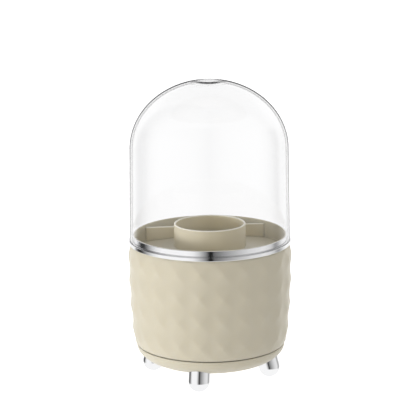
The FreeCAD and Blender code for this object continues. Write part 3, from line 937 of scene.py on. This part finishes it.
def compass_angle(vertex):
    """Direction of a vertex round the axis."""
    return math.atan2(vertex.co.y, vertex.co.x)


def boundary_ring(shape, height):
    """Edge vertices of the net at a height, in order round the axis."""
    edge = [vertex for vertex in shape.verts if vertex.is_boundary]
    found = [vertex for vertex in edge if abs(vertex.co.z - height) < edge_reach]
    return sorted(found, key=compass_angle)


def shell_mesh(name, shape):
    """Relief outside, turned pocket inside, joined by rounded lips."""
    low_edge, high_edge = boundary_ring(shape, facet_bottom), boundary_ring(shape, facet_top)
    spokes = [(math.cos(angle), math.sin(angle)) for angle in map(compass_angle, low_edge)]
    rings = [low_edge]
    for radius, height in shell_inside:
        rings.append([shape.verts.new((radius * x, radius * y, height)) for x, y in spokes])
    rings.append(high_edge)
    for lower, upper in zip(rings, rings[1:]):
        join_rings(shape, lower, upper)
    return mesh_from(shape, name)


shell = dress(shell_mesh("faceted_shell", shell_skin), beige_plastic, "cup", "beige_plastic", "outer_shell")
# The faces of the shell's lower lip, in the seam, get the duller beige: painted shade in the gap.
refinish(shell, inner_beige_and_painted_seam_shade, shell_low.z - lip_round, shell_low.z + lip_round / 4)

# %% [markdown]
# ## Floor of the tray
#
# The tray's floor is crowned, so small things roll to the wall. A cone would do that too, but a moulded floor
# is a shallow part of a sphere, and its underside is a sphere with the same centre.

# %% Floor of the tray
tray_low, tray_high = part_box("organizer_tray")
tray_inner_radius = 0.060
tray_rim_height = 0.1176
tray_floor_drop = 0.0140
floor_crown_radius = 0.450
floor_thickness = 0.0015
floor_steps = 24
under_sphere = floor_crown_radius - floor_thickness
crown_rise = math.sqrt(floor_crown_radius ** 2 - tray_inner_radius ** 2)
crown_centre = tray_rim_height - tray_floor_drop - crown_rise


def crown_height(radius, sphere_radius=floor_crown_radius):
    """Height of the crowned floor, or of a surface parallel to it, at a radius."""
    return crown_centre + math.sqrt(sphere_radius ** 2 - radius ** 2)


def crown_corners(sphere_radius, start, end):
    """Corners along the crowned floor between two radii, without the two ends."""
    radii = [start + (end - start) * step / floor_steps for step in range(1, floor_steps)]
    return [(radius, crown_height(radius, sphere_radius), 0) for radius in radii]


print("floor height at the tray's wall:", round(crown_height(tray_inner_radius), 4))

# %% [markdown]
# ## Tray
#
# The tray drops into the cup, and a deep tube in the middle takes the brushes. All of it is one turned
# outline with soft inner corners. The top of the tube is thin, so it gets the paler finish, a painted glow.

# %% Tray
tray_flange_radius = tray_high.x
tray_wall = 0.001
tray_outer_radius = tray_inner_radius + tray_wall
tray_corner_round = 0.0012
tube_radius = 0.0286
tube_wall = 0.0015
tube_inner_radius = tube_radius - tube_wall
rim_round_share = 0.49
tray_rim_round = tray_wall * rim_round_share
tube_rim_round = tube_wall * rim_round_share

tray_corners = [
    (0.0, tray_low.z, 0),
    (tube_radius, tray_low.z, tray_corner_round),
    (tube_radius, crown_height(tube_radius, under_sphere), 0),
    *crown_corners(under_sphere, tube_radius, tray_outer_radius),
    (tray_outer_radius, crown_height(tray_outer_radius, under_sphere), 0),
    (tray_outer_radius, rebate_bottom, 0),
    (tray_flange_radius, rebate_bottom, 0),
    (tray_flange_radius, shell_high.z, 0),
    (tray_outer_radius, shell_high.z, 0),
    (tray_outer_radius, tray_rim_height, tray_rim_round),
    (tray_inner_radius, tray_rim_height, tray_rim_round),
    (tray_inner_radius, crown_height(tray_inner_radius), tray_corner_round),
    *crown_corners(floor_crown_radius, tray_inner_radius, tube_radius),
    (tube_radius, crown_height(tube_radius), tray_corner_round),
    (tube_radius, tray_high.z, tube_rim_round),
    (tube_inner_radius, tray_high.z, tube_rim_round),
    (tube_inner_radius, tray_low.z + floor_thickness, tray_corner_round),
    (0.0, tray_low.z + floor_thickness, 0),
]
tray_mesh = spin("tray_and_tube", rounded(tray_corners))
tray = dress(tray_mesh, beige_plastic, "cup", "beige_plastic", "organizer_tray")
# The thin top of the tube gets the paler finish, a painted glow of light through the thin wall.
refinish(tray, beige_rim_painted_glow, tray_high.z - tube_wall / 2, tray_high.z + tube_wall)

# %% [markdown]
# ## Partition
#
# One straight wall stands behind the tube and cuts off a narrow rear section. It follows the crowned floor
# below, and its top edge is rounded. It belongs to the tray's solid. Here it is a strip of cross-sections,
# let a little way into the floor and the wall, which needs no cutting of meshes.

# %% Partition
partition_offset = 0.0347
partition_turn = math.radians(6.5)
partition_thickness = 0.0015
partition_top_drop = 0.0021
partition_top = tray_rim_height - partition_top_drop
partition_sink = 0.0005
partition_stations = 49
crest_steps = 8


def partition_mesh(name):
    """Strip of rounded cross-sections along the wall's length."""
    shape = bmesh.new()
    reach = math.sqrt((tray_inner_radius + partition_sink) ** 2 - partition_offset ** 2)
    half = partition_thickness / 2
    crest = arc((partition_offset, partition_top - half), half, 0, 180, crest_steps)
    sections = []
    for station in range(partition_stations):
        along = reach * (2 * station / (partition_stations - 1) - 1)
        low = crown_height(math.hypot(along, partition_offset)) - partition_sink
        outline = [(partition_offset - half, low), (partition_offset + half, low)] + crest
        sections.append([shape.verts.new((along, across, height)) for across, height in outline])
    for first, second in zip(sections, sections[1:]):
        join_rings(shape, first, second)
    shape.faces.new(sections[0])
    shape.faces.new(sections[-1])
    mesh = mesh_from(shape, name)
    mesh.transform(Matrix.Rotation(partition_turn, 4, "Z"))
    return mesh


partition = dress(partition_mesh("tray_partition"), beige_plastic, "cup", "beige_plastic")
# The partition's rounded top edge gets the paler finish, a painted glow of light through the thin wall.
refinish(partition, beige_rim_painted_glow, partition_top - partition_thickness / 2, partition_top + partition_thickness)

# %% [markdown]
# ## Trim ring
#
# A plated ring covers the joint of cup and tray. Its flange carries the dome and its collar centres it. Tiny
# roundings on the corners that show give the bright hairlines of real plated edges.

# %% Trim ring
ring_low, ring_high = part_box("trim_ring")
ring_radius = ring_high.x
ring_flange_height = 0.0028
ring_flange_top = ring_low.z + ring_flange_height
ring_collar_radius = 0.0618
ring_bore = 0.06105
ring_round = 0.0004
ring_inner_round = 0.0002
ring_round_steps = 6
ring_outline = rounded([
    (ring_bore, ring_low.z, 0),
    (ring_radius, ring_low.z, ring_round),
    (ring_radius, ring_flange_top, ring_round),
    (ring_collar_radius, ring_flange_top, ring_inner_round),
    (ring_collar_radius, ring_high.z, ring_round),
    (ring_bore, ring_high.z, ring_inner_round),
], steps=ring_round_steps)
ring_mesh = spin("chrome_ring", ring_outline, fine_segments)
dress(ring_mesh, chrome_plate, "cup", "chrome_plate", "trim_ring")

# %% [markdown]
# ## Dome
#
# The dome is one clear moulding with a slight draft, an elliptical cap and a shallow dimple on top. It could
# be one skin, but light has to enter and leave a real wall to bend, so it is spun as an outer and an inner
# skin. The dark outline is a painted shade in the finish.

# %% Dome
dome_wall = 0.0016
dome_draft = 0.0011
dome_side_height = 0.0732
dome_cap_height = 0.055
dome_foot_radius = dome_high.x
dome_shoulder_radius = dome_foot_radius - dome_draft
dome_shoulder_height = dome_low.z + dome_side_height
dimple_radius = 0.0158
dimple_depth = 0.0018
dome_foot_round = 0.0003
cap_steps = 90


def cap_corners(inset):
    """Corners of the cap from the shoulder to the axis, with the dimple sunk into its top."""
    half_width, half_height = dome_shoulder_radius - inset, dome_cap_height - inset
    corners = []
    for step in range(cap_steps + 1):
        angle = math.pi / 2 * step / cap_steps
        radius = half_width * math.cos(angle) if step < cap_steps else 0.0
        sink = dimple_depth * max(0.0, 1 - (radius / dimple_radius) ** 2) ** 2
        corners.append((radius, dome_shoulder_height + half_height * math.sin(angle) - sink, 0))
    return corners


outer_skin = [(dome_foot_radius, dome_low.z, dome_foot_round)] + cap_corners(0.0)
inner_skin = [(dome_foot_radius - dome_wall, dome_low.z, dome_foot_round)] + cap_corners(dome_wall)
dome_mesh = spin("clear_dome", rounded(outer_skin + inner_skin[::-1]), fine_segments)
dress(dome_mesh, clear_plastic, "dome", "clear_plastic", "dome_cover")

# %% [markdown]
# ## Turntable parts
#
# The bearing, the spindle and the screws stay as solids, because their plain turned forms need no finer mesh.
# Every solid gets the finish of its slot, also where a mesh above stands in for it.

# %% Turntable parts
finish_by_slot = {
    "bright_steel": bright_steel,
    "bearing_plastic": white_nylon,
    "inner_plastic": inner_beige_and_painted_seam_shade,
    "beige_plastic": beige_plastic,
    "chrome_plate": chrome_plate,
    "clear_plastic": clear_plastic,
}
for row in subparts:
    solid = frame["nodes"][row["node"]]
    solid.data.materials.clear()
    solid.data.materials.append(finish_by_slot[row["material_slot"]])
print("finished solids:", len(subparts))
